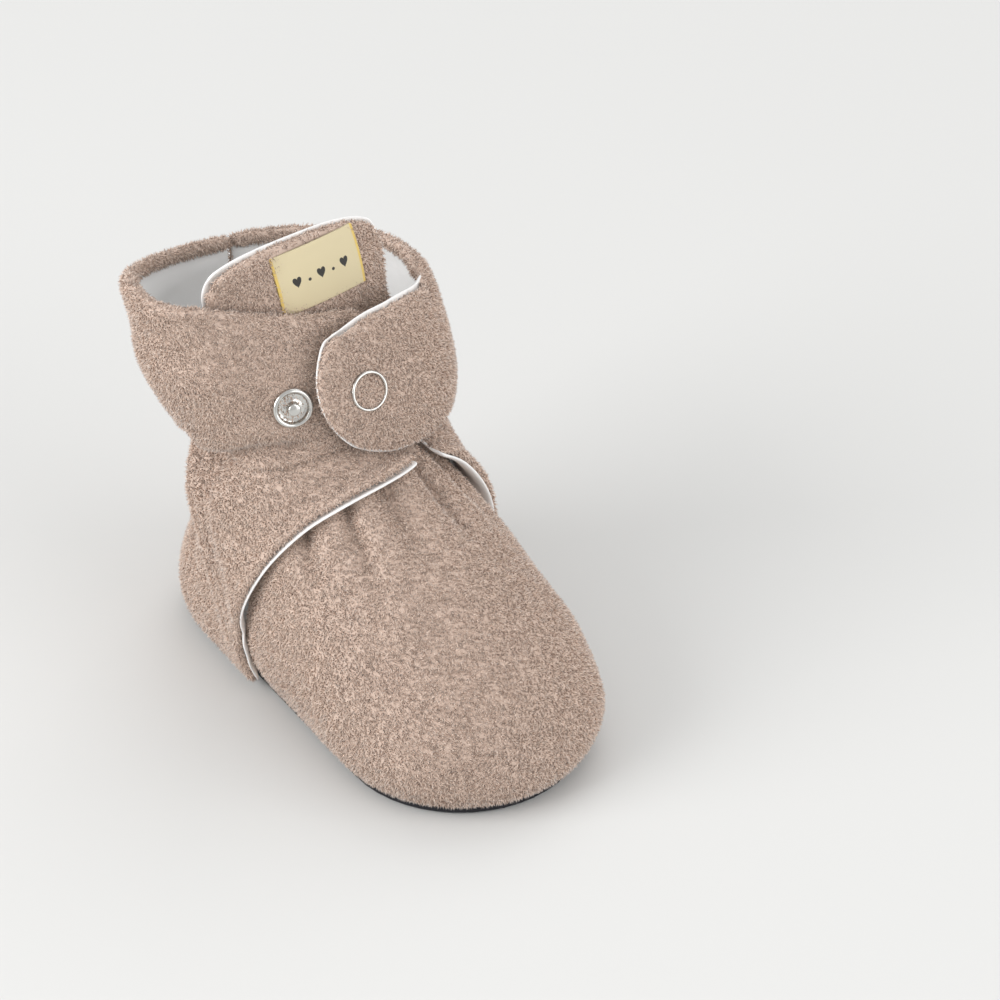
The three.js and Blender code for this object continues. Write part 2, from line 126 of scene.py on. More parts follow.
def colour_field(name, description, default):
    return bpy.props.FloatVectorProperty(
        name=name, description=description, default=default, size=4, min=0, max=1, subtype="COLOR",
    )


def length_field(name, description, default):
    return bpy.props.FloatProperty(
        name=name, description=description, default=default, min=0, unit="LENGTH", precision=5,
    )


class BootieCloth(bpy.types.PropertyGroup):
    """Thicknesses of the cloths and the size of the pile."""

    fleece: length_field("Fleece", "Thickness of the fleece without its pile", 0.0017)
    lining: length_field("Lining", "Thickness of the cotton lining", 0.0007)
    layer_gap: length_field("Layer gap", "Room between the fleece and its lining", 0.0003)
    lining_reveal: length_field("Lining reveal", "How far the lining shows past the fleece", 0.0009)
    pile_length: length_field("Pile length", "Length of a tuft of the fleece", 0.00105)
    pile_width: length_field("Pile width", "Width of a tuft at its root", 0.00038)
    pile_density: bpy.props.FloatProperty(
        name="Pile density", description="Tufts of each shade on a square metre", default=2.5e6, min=0,
    )
    grid_pitch: length_field("Grid pitch", "Size of a face of a cloth panel", 0.0024)


class BootieColours(bpy.types.PropertyGroup):
    """Colours of the cloths and the trims."""

    fleece_light: colour_field("Fleece, light", "Brushed tips of the fleece", (0.83, 0.665, 0.56, 1))
    fleece_middle: colour_field("Fleece, middle", "Body of the fleece", (0.66, 0.50, 0.405, 1))
    fleece_dark: colour_field("Fleece, dark", "Roots of the fleece", (0.42, 0.295, 0.23, 1))
    lining: colour_field("Lining", "Brushed cotton lining", (0.93, 0.93, 0.925, 1))
    twill: colour_field("Twill", "Fabric of the sole", (0.012, 0.012, 0.014, 1))
    # Painted highlight: the lighter colour given to the raised threads of the sole's twill.
    twill_highlight: colour_field("Twill, raised", "Raised threads of the sole", (0.034, 0.034, 0.038, 1))
    grip: colour_field("Grip", "Rubber dots under the sole", (0.075, 0.078, 0.085, 1))
    wadding: colour_field("Wadding", "Padding of the sole", (0.80, 0.78, 0.74, 1))
    nickel: colour_field("Nickel", "Snap parts", (0.74, 0.73, 0.71, 1))
    satin: colour_field("Satin", "Ground of the label", (0.74, 0.64, 0.41, 1))
    selvage: colour_field("Selvage", "Woven edges of the label", (0.80, 0.58, 0.16, 1))
    motif: colour_field("Motif", "Woven pattern of the label", (0.035, 0.033, 0.03, 1))


def cloth_sizes():
    return bpy.context.scene.bootie_cloth


def colours():
    return bpy.context.scene.bootie_colours


# ---------------------------------------------------------------- the guiding skin

def lerp(a, b, share):
    return a + (b - a) * share


def smoothstep(value, low, high):
    share = np.clip((value - low) / (high - low), 0, 1)
    return share * share * (3 - 2 * share)


def hump(value, middle, width):
    """1 at the middle and falling to 0 over a few widths on each side."""
    return np.exp(-(((value - middle) / width) ** 2))


def half_turns(turn):
    """The turn from -180 to 180."""
    return (turn + 180) % 360 - 180


def stack(x, y, z):
    return np.stack(np.broadcast_arrays(x, y, z), axis=-1).astype(float)


def unit(vectors):
    return vectors / np.linalg.norm(vectors, axis=-1, keepdims=True)


def centre_shift():
    """How far the frame's origin lies from the middle of the sole."""
    low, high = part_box("outsole_fabric")
    return np.array([(low.x + high.x) / 2, (low.y + high.y) / 2, 0])


SHIFT = centre_shift()


def sole_reach(turn, grow):
    """How far the sole's outline, grown by an allowance, lies from its middle."""
    side, ahead = np.sin(np.radians(turn)), -np.cos(np.radians(turn))
    toe_y, toe_radius = SOLE_TOE_RADIUS - SOLE_LENGTH / 2, SOLE_TOE_RADIUS + grow
    heel_y, heel_radius = SOLE_LENGTH / 2 - SOLE_HEEL_RADIUS, SOLE_HEEL_RADIUS + grow

    def through(y, radius):
        inside = (ahead * y) ** 2 - y * y + radius * radius
        return np.where(inside > 0, ahead * y + np.sqrt(np.maximum(inside, 0)), 0)

    slope = (toe_radius - heel_radius) / (heel_y - toe_y)
    facing = np.abs(side) * np.sqrt(1 - slope * slope) + ahead * slope
    safe = np.where(facing > 1e-9, facing, 1)
    straight = np.where(facing > 1e-9, (toe_radius + toe_y * slope) / safe, 0)
    reached = ahead * straight
    past_toe = reached > toe_y + toe_radius * slope
    on_side = (straight > 0) & past_toe & (reached < heel_y + heel_radius * slope)
    return np.where(on_side, straight, np.maximum(through(toe_y, toe_radius), through(heel_y, heel_radius)))


def sole_point(turn, grow, z):
    reach = sole_reach(turn, grow)
    return stack(np.sin(np.radians(turn)) * reach, -np.cos(np.radians(turn)) * reach, z)


def loop_point(loop, turn):
    side, ahead = np.sin(np.radians(turn)), np.cos(np.radians(turn))
    power = 2 / loop.square
    half = np.where(side > 0, loop.right_half, loop.left_half)
    return stack(
        half * np.sign(side) * np.abs(side) ** power,
        loop.y - loop.half_length * np.sign(ahead) * np.abs(ahead) ** power,
        loop.z - loop.heel_drop * (1 - ahead) / 2,
    )


def bezier(points, share):
    a, b, c, d = points
    t = np.asarray(share, float)[..., None]
    return a * (1 - t) ** 3 + 3 * b * t * (1 - t) ** 2 + 3 * c * t * t * (1 - t) + d * t ** 3


def foot_point(turn, rise):
    """From the sole seam to the ankle, bulging over the seam and full at the toe."""
    facing = np.cos(np.radians(turn))
    toeward = np.maximum(facing, 0) ** 1.3
    ridge = np.maximum(facing, 0) ** 3
    heelward = np.maximum(-facing, 0)
    seam = sole_point(turn, 0, SEAM_Z)
    spread = lerp(FOOT.side_spread, FOOT.toe_spread, toeward) - FOOT.heel_tuck * heelward
    low = sole_point(turn, spread, lerp(FOOT.side_z, FOOT.toe_z, toeward))
    ankle = loop_point(ANKLE, turn)
    high = lerp(ankle, low, lerp(FOOT.side_lean, FOOT.toe_lean, ridge)[..., None])
    high[..., 2] = ankle[..., 2] - lerp(FOOT.side_drop, FOOT.toe_drop, ridge)
    return bezier((seam, low, high, ankle), rise)


def cuff_point(turn, rise):
    """From the ankle to the rim of the cuff, a little full in the middle."""
    ankle, rim = loop_point(ANKLE, turn), loop_point(RIM, turn)
    out = (ankle + rim) / 2 - np.array([0, CUFF_CENTRE_Y, 0])
    out[..., 2] = 0
    out = unit(out) * CUFF_FULLNESS
    low, high = (lerp(ankle, rim, share) + out for share in CUFF_BOW)
    return bezier((ankle, low, high, rim), rise)


def rib_point(turn, rise):
    turn, rise = np.broadcast_arrays(np.asarray(turn, float), np.asarray(rise, float))
    foot = foot_point(turn, np.clip(rise, 0, 1))
    cuff = cuff_point(turn, np.clip(rise - 1, 0, 1))
    lean = loop_point(RIM, turn) - loop_point(ANKLE, turn)
    above = cuff + lean * np.maximum(rise - 2, 0)[..., None]
    return np.where((rise <= 1)[..., None], foot, above)


def skin_normal(turn, rise):
    turn, rise = np.broadcast_arrays(np.asarray(turn, float), np.asarray(rise, float))
    low = np.where((rise > 1) & (rise - 0.01 < 1), rise, rise - 0.01)
    high = np.where((rise <= 1) & (rise + 0.01 > 1), rise, rise + 0.01)
    around = rib_point(turn + 0.5, rise) - rib_point(turn - 0.5, rise)
    upward = rib_point(turn, high) - rib_point(turn, np.maximum(low, 0))
    return unit(np.cross(around, upward))


def skin(turn, rise, stand_off):
    """Points at a stand-off from the skin, along its outward normal."""
    off = np.broadcast_to(np.asarray(stand_off, float), np.broadcast(turn, rise).shape)
    return rib_point(turn, rise) + skin_normal(turn, rise) * off[..., None] + SHIFT


def waviness(points, size, seed):
    """Soft random swells of about -1 to 1, of a given size, for every point."""
    offset = Vector((seed * 3.1, seed * 7.7, seed * 1.3))
    return np.array([noise.noise(Vector(point) / size + offset) for point in points]) * 1.6


# ---------------------------------------------------------------- materials

def add_node(tree, kind, inputs, settings):
    """A node whose inputs are values or the sockets that they come from."""
    made = tree.nodes.new(kind)
    for name, value in settings.items():
        setattr(made, name, value)
    for name, value in (inputs or {}).items():
        if isinstance(value, bpy.types.NodeSocket):
            tree.links.new(value, made.inputs[name])
        else:
            made.inputs[name].default_value = value
    return made


class Finish:
    """A node material under construction."""

    def __init__(self, name, roughness=0.9, **sockets):
        self.material = bpy.data.materials.new(name)
        self.material.use_nodes = True
        self.tree = self.material.node_tree
        self.shader = self.tree.nodes["Principled BSDF"]
        self.shader.inputs["Roughness"].default_value = roughness
        for socket, value in sockets.items():
            self.shader.inputs[socket.replace("_", " ")].default_value = value

    def node(self, kind, inputs=None, **settings):
        return add_node(self.tree, kind, inputs, settings)

    def object_place(self):
        return self.node("ShaderNodeTexCoord").outputs["Object"]

    def cloth_place(self):
        return self.node("ShaderNodeUVMap", uv_map="cloth").outputs["UV"]

    def maths(self, operation, *values):
        return self.node("ShaderNodeMath", dict(enumerate(values)), operation=operation).outputs[0]

    def noise(self, place, scale, detail=2.0, rough=0.5):
        inputs = {"Vector": place, "Scale": scale, "Detail": detail, "Roughness": rough}
        return self.node("ShaderNodeTexNoise", inputs).outputs["Fac"]

    def bands(self, place, scale, direction="X", distortion=0.0):
        inputs = {"Vector": place, "Scale": scale, "Distortion": distortion, "Detail": 1.0}
        return self.node("ShaderNodeTexWave", inputs, bands_direction=direction).outputs["Fac"]

    def spread(self, factor, low, high):
        inputs = {"Value": factor, "From Min": low, "From Max": high}
        return self.node("ShaderNodeMapRange", inputs).outputs["Result"]

    def blend_colours(self, factor, first, second):
        inputs = {"Factor": factor, 6: first, 7: second}
        return self.node("ShaderNodeMix", inputs, data_type="RGBA").outputs[2]

    def paint(self, colour):
        self.tree.links.new(colour, self.shader.inputs["Base Color"])

    def roughen(self, factor, low, high):
        inputs = {"Value": factor, "To Min": low, "To Max": high}
        spread = self.node("ShaderNodeMapRange", inputs)
        self.tree.links.new(spread.outputs["Result"], self.shader.inputs["Roughness"])

    def raise_surface(self, *layers):
        """Bumps from (height, distance) pairs, the broad ones first."""
        normal = None
        for height, distance in layers:
            inputs = {"Height": height, "Distance": distance, "Strength": 1.0}
            if normal:
                inputs["Normal"] = normal
            normal = self.node("ShaderNodeBump", inputs).outputs["Normal"]
        self.tree.links.new(normal, self.shader.inputs["Normal"])


def fleece_finish(name):
    """Short-napped fleece: mottled shade, matted tufts and a soft sheen."""
    palette = colours()
    finish = Finish(name, 0.95, Sheen_Weight=0.25, Sheen_Roughness=0.6, Specular_IOR_Level=0.15)
    place = finish.object_place()
    tufts = finish.noise(place, 1100, 3.0, 0.6)
    mats = finish.noise(place, 260, 2.0)
    shade = finish.spread(finish.maths("ADD", tufts, finish.maths("MULTIPLY", mats, 0.6)), 0.55, 1.05)
    finish.paint(finish.blend_colours(shade, palette.fleece_dark, palette.fleece_light))
    finish.raise_surface((mats, 0.0004), (tufts, 0.0003))
    return finish.material


def pile_finish(name, colour):
    """One shade of the pile. Its colour is even, because each tuft is far smaller than a mottle."""
    finish = Finish(name, 0.95, Sheen_Weight=0.5, Sheen_Roughness=0.5, Specular_IOR_Level=0.1)
    finish.shader.inputs["Base Color"].default_value = colour
    nap = finish.noise(finish.object_place(), 1500)
    finish.roughen(nap, 0.85, 1.0)
    finish.raise_surface((nap, 0.00005))
    return finish.material


def lining_finish():
    """Brushed cotton rib: fine wales along the cloth with a soft surface."""
    white = colours().lining
    finish = Finish("lining", 0.85, Sheen_Weight=0.15, Sheen_Roughness=0.5, Specular_IOR_Level=0.2)
    cloth = finish.cloth_place()
    wales = finish.bands(cloth, 170, "X", 0.6)
    nap = finish.noise(finish.object_place(), 2200, 2.0)
    # Painted shade: the valleys between the wales are coloured 7% darker than the white.
    valley_shade = [channel * 0.93 for channel in white[:3]] + [1]
    finish.paint(finish.blend_colours(finish.spread(wales, 0.0, 0.7), valley_shade, white))
    finish.raise_surface((wales, 0.00022), (nap, 0.00008))
    return finish.material


def twill_finish():
    """Black twill: raised diagonal threads crossed by finer ones."""
    palette = colours()
    finish = Finish("sole_twill", 0.75, Sheen_Weight=0.08, Specular_IOR_Level=0.3)
    turned = finish.node(
        "ShaderNodeMapping", {"Vector": finish.object_place(), "Rotation": (0, 0, math.radians(52))},
    ).outputs["Vector"]
    ribs = finish.bands(turned, 390, "X", 0.15)
    picks = finish.bands(turned, 900, "Y", 0.4)
    weave = finish.maths("MULTIPLY", ribs, finish.maths("ADD", finish.maths("MULTIPLY", picks, 0.4), 0.6))
    # Painted highlight: the weave's raised threads are coloured lighter than the black twill.
    finish.paint(finish.blend_colours(weave, palette.twill, palette.twill_highlight))
    finish.raise_surface((weave, 0.00018))
    finish.roughen(finish.noise(turned, 700), 0.6, 0.85)
    return finish.material


def grip_finish():
    finish = Finish("grip_rubber", 0.4, Specular_IOR_Level=0.45)
    finish.shader.inputs["Base Color"].default_value = colours().grip
    grain = finish.noise(finish.object_place(), 1800)
    finish.roughen(grain, 0.3, 0.5)
    finish.raise_surface((grain, 0.00003))
    return finish.material


def wadding_finish():
    palette = colours()
    finish = Finish("wadding", 1.0, Sheen_Weight=0.2)
    fluff = finish.noise(finish.object_place(), 500, 4.0, 0.7)
    shadow = [channel * 0.85 for channel in palette.wadding[:3]] + [1]
    finish.paint(finish.blend_colours(fluff, shadow, palette.wadding))
    finish.raise_surface((fluff, 0.0008))
    return finish.material


def nickel_finish():
    """Nickel-plated brass with a faint brushing and small handling marks."""
    finish = Finish("nickel", 0.22, Metallic=1.0)
    finish.shader.inputs["Base Color"].default_value = colours().nickel
    marks = finish.noise(finish.object_place(), 900, 4.0, 0.7)
    finish.roughen(marks, 0.14, 0.34)
    finish.raise_surface((marks, 0.00001))
    return finish.material


def satin_finish():
    """Cream satin with woven yellow edges and a row of woven hearts between small dots."""
    palette = colours()
    finish = Finish("label_satin", 0.42, Sheen_Weight=0.1, Specular_IOR_Level=0.45)
    across, up, _ = finish.node(
        "ShaderNodeSeparateXYZ", {"Vector": finish.node("ShaderNodeUVMap", uv_map="label").outputs["UV"]},
    ).outputs
    edge = finish.maths("ABSOLUTE", finish.maths("SUBTRACT", across, 0.5))
    selvage = finish.spread(edge, 0.462, 0.472)
    ground = finish.blend_colours(selvage, palette.satin, palette.selvage)
    finish.paint(finish.blend_colours(motif_share(finish, across, up), ground, palette.motif))
    threads = finish.node("ShaderNodeCombineXYZ", {"X": up, "Y": across}).outputs[0]
    floats = finish.bands(threads, 26, "X", 0.3)
    picks = finish.bands(threads, 34, "Y", 0.3)
    finish.raise_surface((finish.maths("ADD", floats, picks), 0.00004))
    return finish.material


def motif_share(finish, across, up):
    """1 inside the hearts of the label's pattern: five cells, each a heart or a dot in turn."""
    cells = finish.maths("MULTIPLY", finish.maths("SUBTRACT", across, 0.15), 5 / 0.7)
    past_first, before_last = finish.maths("GREATER_THAN", cells, 0.0), finish.maths("LESS_THAN", cells, 5.0)
    in_row = finish.maths("MULTIPLY", past_first, before_last)
    x = finish.maths("SUBTRACT", finish.maths("FRACT", cells), 0.5)
    y = finish.maths("MULTIPLY", finish.maths("SUBTRACT", up, 0.46), 4.9)
    odd = finish.maths("GREATER_THAN", finish.maths("MODULO", cells, 2.0), 1.0)
    # A heart is the inside of x*x + (y - 0.55*sqrt|x|)^2 = 0.12.
    root = finish.maths("SQRT", finish.maths("ABSOLUTE", x))
    lifted = finish.maths("SUBTRACT", y, finish.maths("MULTIPLY", root, 0.55))
    heart = finish.maths("ADD", finish.maths("POWER", x, 2.0), finish.maths("POWER", lifted, 2.0))
    dot = finish.maths("ADD", finish.maths("POWER", x, 2.0), finish.maths("POWER", y, 2.0))
    in_heart = finish.maths("LESS_THAN", heart, 0.12)
    in_dot = finish.maths("LESS_THAN", dot, 0.016)
    chosen = finish.maths("ADD", finish.maths("MULTIPLY", in_heart, finish.maths("SUBTRACT", 1.0, odd)),
                          finish.maths("MULTIPLY", in_dot, odd))
    return finish.maths("MULTIPLY", in_row, chosen)


FINISHES = {
    "fleece": lambda: fleece_finish("fleece"),
    "fleece_back": lambda: fleece_finish("fleece_back"),
    "pile_light": lambda: pile_finish("pile_light", colours().fleece_light),
    "pile_middle": lambda: pile_finish("pile_middle", colours().fleece_middle),
    "pile_dark": lambda: pile_finish("pile_dark", colours().fleece_dark),
    "lining": lining_finish,
    "sole_twill": twill_finish,
    "grip_rubber": grip_finish,
    "wadding": wadding_finish,
    "nickel": nickel_finish,
    "label_satin": satin_finish,
}


def finish_of(name):
    """The material of that name, made on first use."""
    return bpy.data.materials.get(name) or FINISHES[name]()


# ---------------------------------------------------------------- making pieces

def add_piece(name, bm, *finishes):
    mesh = bpy.data.meshes.new(name)
    bm.to_mesh(mesh)
    bm.free()
    mesh.shade_smooth()
    for finish in finishes:
        mesh.materials.append(finish_of(finish))
    piece = bpy.data.objects.new(name, mesh)
    bpy.context.scene.collection.objects.link(piece)
    return piece


Panel = namedtuple("Panel", "across up place lift shown lining_place")
Panel.__doc__ = """A cloth panel: its faces each way; place(across, up) -> turn, rise and curl for 0..1 each
way, where the curl is a stand-off of its own; lift(turn, rise), the stand-off of its inner face;
shown(turn, rise), 1 where its pile can be seen; lining_place, where the lining behind it lies."""


def panel_points(panel, across, up, low):
    turn, rise, curl = panel.place(across, up)
    return skin(turn, rise, panel.lift(turn, rise) + curl + low)


def panel_lengths(panel):
    """The longest row and column of a panel and its area, as the flat cloth is cut."""
    rows, columns = 50, 120
    across, up = np.meshgrid(np.linspace(0, 1, columns), np.linspace(0, 1, rows))
    points = panel_points(panel, across.ravel(), up.ravel(), 0.001).reshape(rows, columns, 3)
    steps, climbs = np.diff(points, axis=1), np.diff(points, axis=0)
    area = np.linalg.norm(np.cross(steps[:-1], climbs[:, :-1]), axis=2).sum()
    return np.linalg.norm(steps, axis=2).sum(1).max(), np.linalg.norm(climbs, axis=2).sum(0).max(), area


def cloth_grid(panel, low, edge_lift=0.0):
    """A one-layer sheet of the panel, at `low` above the panel's lift, with its pile share stored."""
    bm = bmesh.new()
    uv = bm.loops.layers.uv.new("cloth")
    bmesh.ops.create_grid(bm, x_segments=panel.across, y_segments=panel.up, size=0.5, calc_uvs=True)
    across = np.array([vert.co.x for vert in bm.verts]) + 0.5
    up = np.array([vert.co.y for vert in bm.verts]) + 0.5
    turn, rise, _ = panel.place(across, up)
    edge = np.minimum(np.minimum(across, 1 - across) * panel.across, np.minimum(up, 1 - up) * panel.up)
    points = panel_points(panel, across, up, low + edge_lift * (1 - smoothstep(edge, 0, 1.5)))
    shown = bm.verts.layers.float.new("shown")
    for vert, point, share in zip(bm.verts, points, panel.shown(turn, rise)):
        vert.co = point
        vert[shown] = share
    width, length, _ = panel_lengths(panel)
    for face in bm.faces:
        for loop in face.loops:
            loop[uv].uv = (loop[uv].uv.x * width, loop[uv].uv.y * length)
    return bm


LINING_CURL = 0.0011        # the lining's edge turns out this far, so that it shows as a white line


def thicken(piece, thickness, levels=1):
    """Gives a sheet its thickness inwards and rounds it."""
    solid = piece.modifiers.new("thickness", "SOLIDIFY")
    solid.thickness = thickness
    solid.offset = -1
    solid.use_even_offset = False
    solid.material_offset = len(piece.data.materials) - 1
    soft = piece.modifiers.new("softness", "SUBSURF")
    soft.levels = soft.render_levels = levels


def cloth_pair(name, panel):
    """The fleece of a panel with its three shades of pile, and the lining behind it."""
    cloth = cloth_sizes()
    outer_face = cloth.lining + cloth.layer_gap + cloth.fleece
    fleece = add_piece(f"{name}_fleece", cloth_grid(panel, outer_face), "fleece", "fleece_back")
    thicken(fleece, cloth.fleece)
    behind = panel._replace(place=panel.lining_place)
    lining = add_piece(f"{name}_cotton", cloth_grid(behind, cloth.lining, LINING_CURL), "lining")
    thicken(lining, cloth.lining)
    piles = [grow_pile(fleece, f"{name}_pile_{shade}", f"pile_{shade}", seed)
             for seed, shade in enumerate(("light", "middle", "dark"))]
    return fleece, lining, piles


def declare_panel(panel):
    """Says what size of cloth the fleece and the lining were cut from."""
    width, length, area = panel_lengths(panel)
    area = min(area, width * length)


# ---------------------------------------------------------------- pile

NAP = (0.0, -0.25, -0.45)   # the way the pile is brushed


def pile_nodes(seed, density):
    """Geometry nodes that replace a cloth by the tufts growing on its outer face."""
    cloth = cloth_sizes()
    tree = bpy.data.node_groups.new("pile", "GeometryNodeTree")
    tree.interface.new_socket("Geometry", in_out="INPUT", socket_type="NodeSocketGeometry")
    tree.interface.new_socket("Geometry", in_out="OUTPUT", socket_type="NodeSocketGeometry")

    def node(kind, inputs=None, **settings):
        return add_node(tree, kind, inputs, settings)

    start, end = node("NodeGroupInput"), node("NodeGroupOutput")
    shown = node("GeometryNodeInputNamedAttribute", {"Name": "shown"}).outputs["Attribute"]
    face_kind = node("GeometryNodeInputMaterialIndex").outputs[0]
    front = node("FunctionNodeCompare", {"A": face_kind, "B": 0}, data_type="INT", operation="EQUAL")
    thick = node("ShaderNodeMath", {0: shown, 1: density}, operation="MULTIPLY").outputs[0]
    points = node(
        "GeometryNodeDistributePointsOnFaces",
        {"Mesh": start.outputs[0], "Selection": front.outputs[0], "Density": thick, "Seed": seed},
    )
    clumps = node("ShaderNodeTexNoise", {"Scale": 520.0, "Detail": 2.0}).outputs["Color"]
    centred = node("ShaderNodeVectorMath", {0: clumps, 1: (0.5, 0.5, 0.5)}, operation="SUBTRACT").outputs[0]
    matted = node("ShaderNodeVectorMath", {0: centred, "Scale": 3.6}, operation="SCALE").outputs[0]
    loose = node(
        "FunctionNodeRandomValue", {"Min": (-0.6, -0.6, -0.6), "Max": (0.6, 0.6, 0.6), "Seed": seed + 5},
        data_type="FLOAT_VECTOR",
    ).outputs[0]
    combed = node("ShaderNodeVectorMath", {0: matted, 1: NAP}, operation="ADD").outputs[0]
    upright = points.outputs["Normal"]
    leaning = node("ShaderNodeVectorMath", {0: upright, 1: combed}, operation="ADD").outputs[0]
    leaning = node("ShaderNodeVectorMath", {0: leaning, 1: loose}, operation="ADD").outputs[0]
    stand = node("FunctionNodeAlignRotationToVector", {"Vector": leaning}, axis="Z").outputs[0]
    tuft = node("GeometryNodeMeshCone", {
        "Vertices": 3, "Radius Top": 0.0, "Radius Bottom": cloth.pile_width / 2,
        "Depth": cloth.pile_length,
    }).outputs["Mesh"]
    size = node("FunctionNodeRandomValue", {"Seed": seed + 9}, data_type="FLOAT")
    size.inputs[2].default_value = 0.55
    size.inputs[3].default_value = 1.15
    grown = node(
        "GeometryNodeInstanceOnPoints",
        {"Points": points.outputs[0], "Instance": tuft, "Rotation": stand, "Scale": size.outputs[1]},
    ).outputs[0]
    real = node("GeometryNodeRealizeInstances", {"Geometry": grown}).outputs[0]
    tree.links.new(real, end.inputs[0])
    return tree


def grow_pile(cloth_piece, name, finish, seed):
    """A mesh of all the tufts of one shade on the outer face of a cloth."""
    base = cloth_piece.copy()
    bpy.context.scene.collection.objects.link(base)
    nodes = pile_nodes(seed + 1, cloth_sizes().pile_density)
    base.modifiers.new("pile", "NODES").node_group = nodes
    drawn = base.evaluated_get(bpy.context.evaluated_depsgraph_get())
    mesh = bpy.data.meshes.new_from_object(drawn)
    mesh.name = name
    mesh.materials.clear()
    mesh.materials.append(finish_of(finish))
    mesh.shade_smooth()
    bpy.data.objects.remove(base)
    bpy.data.node_groups.remove(nodes)
    pile = bpy.data.objects.new(name, mesh)
    bpy.context.scene.collection.objects.link(pile)
    return pile


# ---------------------------------------------------------------- sole

def sole_outline(bm, inset, steps=96):
    """A flat face of the sole's outline."""
    turns = np.arange(steps) * 360 / steps
    for point in sole_point(turns, -inset, 0) + SHIFT:
        bm.verts.new(point)
    edges = []
    bm.verts.ensure_lookup_table()
    for first, second in zip(bm.verts, list(bm.verts[1:]) + [bm.verts[0]]):
        edges.append(bm.edges.new((first, second)))
    return bmesh.ops.contextual_create(bm, geom=edges)["faces"]


def sole_slab(name, inset, low, high, rounding, finish):
    bm = bmesh.new()
    faces = sole_outline(bm, inset)
    raised = bmesh.ops.extrude_face_region(bm, geom=faces)["geom"]
    top = [item for item in raised if isinstance(item, bmesh.types.BMVert)]
    bmesh.ops.translate(bm, verts=top, vec=(0, 0, high - low))
    bmesh.ops.translate(bm, verts=bm.verts, vec=(0, 0, low))
    bmesh.ops.recalc_face_normals(bm, faces=bm.faces)
    rims = [edge for edge in bm.edges if abs(edge.verts[0].co.z - edge.verts[1].co.z) < 1e-6]
    bmesh.ops.bevel(
        bm, geom=rims, offset=rounding, segments=4, profile=0.5, affect="EDGES", material=-1,
    )
    return add_piece(name, bm, finish)


def grip_dots(bottom, cloth_bottom):
    """Rubber dots in staggered rows over the sole, as one piece of small domes."""
    pitch, radius, border = 0.0076, 0.0009, 0.005
    bm = bmesh.new()
    row_pitch = pitch * math.sin(math.radians(60))
    rows = int(SOLE_LENGTH / row_pitch / 2) + 1
    for row in range(-rows, rows + 1):
        for column in range(-6, 7):
            x = (column + 0.5 * (row % 2)) * pitch
            y = row * row_pitch
            turn = math.degrees(math.atan2(x, -y))
            if math.hypot(x, y) > sole_reach(turn, -border):
                continue
            dome = bmesh.ops.create_cone(
                bm, cap_ends=True, cap_tris=False, segments=10, radius1=radius * 0.6, radius2=radius,
                depth=cloth_bottom - bottom,
            )["verts"]
            middle = (bottom + cloth_bottom) / 2
            bmesh.ops.translate(bm, verts=dome, vec=Vector((x, y, middle)) + Vector(SHIFT))
    return add_piece("grip_dots", bm, "grip_rubber")


# ---------------------------------------------------------------- panels of the upper

def gathers(turn, rise, places, depth, width, low, high):
    """Narrow pleats running up the cloth, deeper from `low` to `high`."""
    fall = sum(hump(half_turns(turn - place), 0, width * (1 + 0.35 * math.sin(place))) for place in places)
    return -depth * fall * smoothstep(rise, low, high)


VAMP_PLEATS = (-40, -21, -4, 16.5, 34, 51)
HEEL_PLEATS = tuple(101 + 10.5 * i + 3 * math.sin(i * 2.3) for i in range(17))


def flat_place(place):
    """A place without a curl."""
    def placed(across, up):
        turn, rise = place(across, up)
        return turn, rise, np.zeros_like(turn)
    return placed


def everywhere(turn, rise):
    return np.ones_like(turn)


def vamp_panel():
    cloth = cloth_sizes()
    base = -(cloth.lining + cloth.layer_gap + cloth.fleece)

    @flat_place
    def place(across, up):
        rise = lerp(0.005, 0.985, up)
        reach = lerp(118, 60, smoothstep(rise, 0.05, 1))
        return lerp(-reach, reach, across), rise

    def lift(turn, rise):
        swell = waviness(rib_point(turn, rise), 0.02, 1) * 0.0009
        puckers = gathers(turn, rise, VAMP_PLEATS, 0.0036, 4.2, 0.62, 0.88)
        return base + swell * smoothstep(rise, 0.02, 0.2) + puckers

    def shown(turn, rise):
        return (1 - smoothstep(np.abs(turn), 98, 108)) * (1 - smoothstep(rise, 0.92, 0.96))

    return Panel(56, 48, place, lift, shown, place)


HEM_LOWEST = 0.035          # rise of the wrap's hem round the sole seam
HEM = (
    (26, 0.9), (38, 0.84), (54, 0.7), (78, 0.45), (99, 0.2), (106, 0.05),
    *((turn, HEM_LOWEST) for turn in (122, 150, 180, 210, 234)),
    (245, 0.05), (251, 0.2), (267, 0.45), (296, 0.7), (318, 0.83), (340, 0.885), (372, 0.915),
)


def through_points(points, share):
    """A smooth curve through points, at shares from 0 to 1."""
    points = np.array(points, float)
    along = np.clip(share, 0, 1) * (len(points) - 1)
    first = np.minimum(along.astype(int), len(points) - 2)
    t = (along - first)[:, None]
    before, after = points[np.maximum(first - 1, 0)], points[np.minimum(first + 2, len(points) - 1)]
    a, b = points[first], points[first + 1]
    bend_in, bend_out = (b - before) / 2, (after - a) / 2
    return (a * (2 * t ** 3 - 3 * t * t + 1) + bend_in * (t ** 3 - 2 * t * t + t)
            + b * (3 * t * t - 2 * t ** 3) + bend_out * (t ** 3 - t * t))


def heel_gathers(turn, rise):
    """How the elastic bunches the cloth below and above it, all round the back."""
    behind = smoothstep(np.abs(half_turns(turn)), 66, 96)
    bunched = 0.0017 * hump(rise, 0.84, 0.12) + 0.0006 * hump(rise, 1.12, 0.06)
    pleats = gathers(turn, rise, HEEL_PLEATS, 0.0025, 2.5, 0.1, 0.8)
    fading = 1 - smoothstep(rise, 1.04, 1.4)
    return behind * (bunched + pleats * fading)


def elastic_crease(turn, rise):
    """The groove where the elastic draws the cloth in. It runs out towards the front."""
    behind = smoothstep(np.abs(half_turns(turn)), 60, 90)
    return -CREASE_DEPTH * behind * hump(rise, CREASE_RISE, 0.07)


